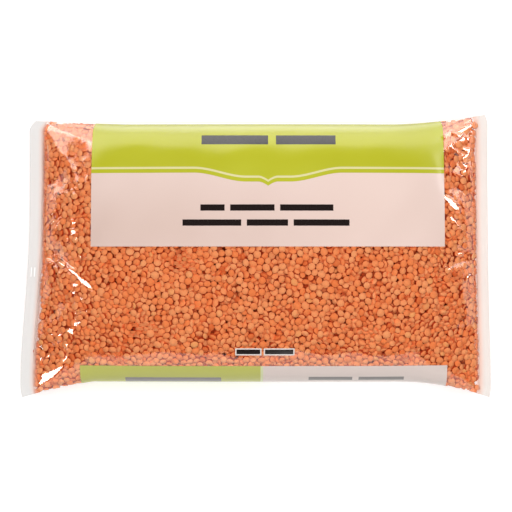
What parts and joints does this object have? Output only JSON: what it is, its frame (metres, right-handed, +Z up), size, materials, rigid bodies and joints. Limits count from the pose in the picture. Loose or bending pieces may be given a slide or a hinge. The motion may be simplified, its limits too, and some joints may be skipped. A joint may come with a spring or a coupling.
{
  "type": "bag of lentils",
  "caption": "Full pillow bag of clear film, lying flat: whole red lentils fill it, under a printed front label, between two pressed end seals.",
  "frame": {"origin": "under the middle of the bag's overall box, on the surface that it rests on", "axes": "+X runs along the bag from one end seal to the other, +Y across it towards the rim behind the top of the front print, +Z up out of the front face"},
  "size_m": [0.305, 0.1832, 0.0618],
  "materials": {
    "lentils": "dry, slightly waxy orange lentils",
    "film": "clear glossy film, milky at the end seals",
    "print_white": "thin white ink behind glossy film",
    "print_green": "yellow-green ink behind glossy film",
    "print_dark": "dark ink behind glossy film"
  },
  "bodies": {
    "root": {"lentil_bag": "lentils"}
  },
  "joints": []
}
